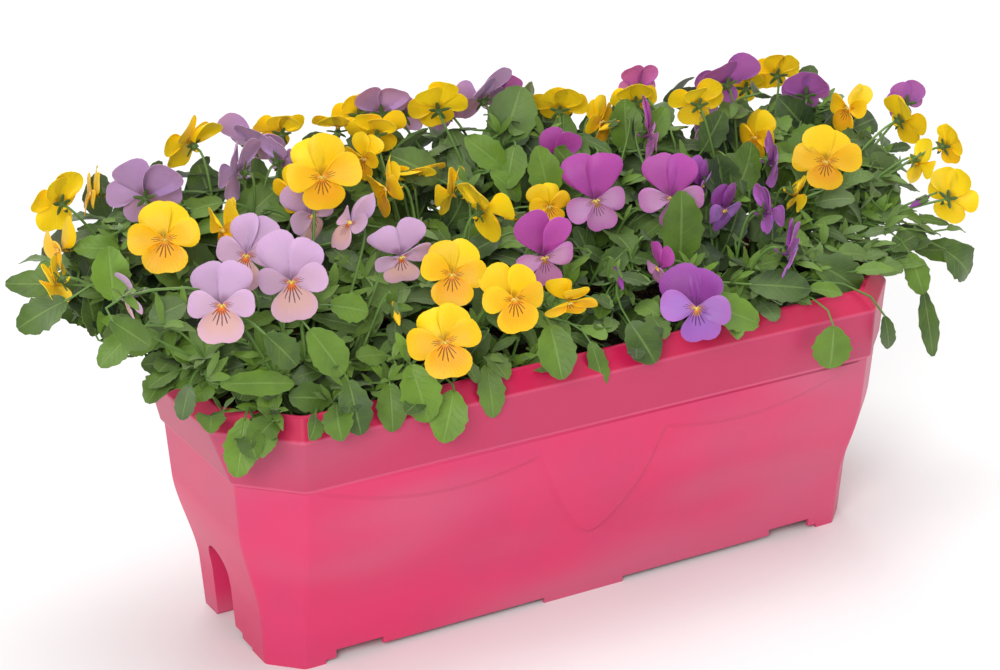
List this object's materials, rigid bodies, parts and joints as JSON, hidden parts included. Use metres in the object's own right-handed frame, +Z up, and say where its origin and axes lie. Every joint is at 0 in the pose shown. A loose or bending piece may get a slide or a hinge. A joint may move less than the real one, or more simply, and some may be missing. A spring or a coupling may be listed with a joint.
{
  "type": "planted window box",
  "caption": "Long tapering plastic window box with cut corners, a sloping rim and drapery relief, filled with soil and a mass of leafy violas in flower.",
  "frame": {"origin": "on the surface that the box stands on, under the middle of the whole planted box", "axes": "+X along the box's length, to the right of someone facing its front; -Y towards that person; +Z up"},
  "size_m": [0.6728, 0.2524, 0.3129],
  "materials": {
    "pink_plastic": "satin",
    "soil": "matte",
    "root_ball": "matte",
    "viola_leaf": "satin",
    "yellow_petal": "matte",
    "lilac_petal": "matte",
    "magenta_petal": "matte",
    "purple_petal": "matte"
  },
  "bodies": {
    "root": {"lilac_viola_01": "lilac_petal", "lilac_viola_02": "lilac_petal", "lilac_viola_03": "lilac_petal", "lilac_viola_04": "lilac_petal", "lilac_viola_05": "lilac_petal", "lilac_viola_06": "lilac_petal", "lilac_viola_07": "lilac_petal", "lilac_viola_08": "lilac_petal", "lilac_viola_09": "lilac_petal", "lilac_viola_10": "lilac_petal", "lilac_viola_11": "lilac_petal", "magenta_viola_01": "magenta_petal", "magenta_viola_02": "magenta_petal", "magenta_viola_03": "magenta_petal", "magenta_viola_04": "magenta_petal", "potting_soil": "soil", "purple_viola_01": "purple_petal", "purple_viola_02": "purple_petal", "purple_viola_03": "purple_petal", "purple_viola_04": "purple_petal", "purple_viola_05": "purple_petal", "purple_viola_06": "purple_petal", "purple_viola_07": "purple_petal", "root_ball_1": "root_ball", "root_ball_2": "root_ball", "root_ball_3": "root_ball", "root_ball_4": "root_ball", "root_ball_5": "root_ball", "root_ball_6": "root_ball", "viola_plant_1": "viola_leaf", "viola_plant_2": "viola_leaf", "viola_plant_3": "viola_leaf", "viola_plant_4": "viola_leaf", "viola_plant_5": "viola_leaf", "viola_plant_6": "viola_leaf", "window_box": "pink_plastic", "yellow_viola_01": "yellow_petal", "yellow_viola_02": "yellow_petal", "yellow_viola_03": "yellow_petal", "yellow_viola_04": "yellow_petal", "yellow_viola_05": "yellow_petal", "yellow_viola_06": "yellow_petal", "yellow_viola_07": "yellow_petal", "yellow_viola_08": "yellow_petal", "yellow_viola_09": "yellow_petal", "yellow_viola_10": "yellow_petal", "yellow_viola_11": "yellow_petal", "yellow_viola_12": "yellow_petal", "yellow_viola_13": "yellow_petal", "yellow_viola_14": "yellow_petal", "yellow_viola_15": "yellow_petal", "yellow_viola_16": "yellow_petal", "yellow_viola_17": "yellow_petal", "yellow_viola_18": "yellow_petal", "yellow_viola_19": "yellow_petal", "yellow_viola_20": "yellow_petal", "yellow_viola_21": "yellow_petal", "yellow_viola_22": "yellow_petal", "yellow_viola_23": "yellow_petal", "yellow_viola_24": "yellow_petal"}
  },
  "joints": []
}
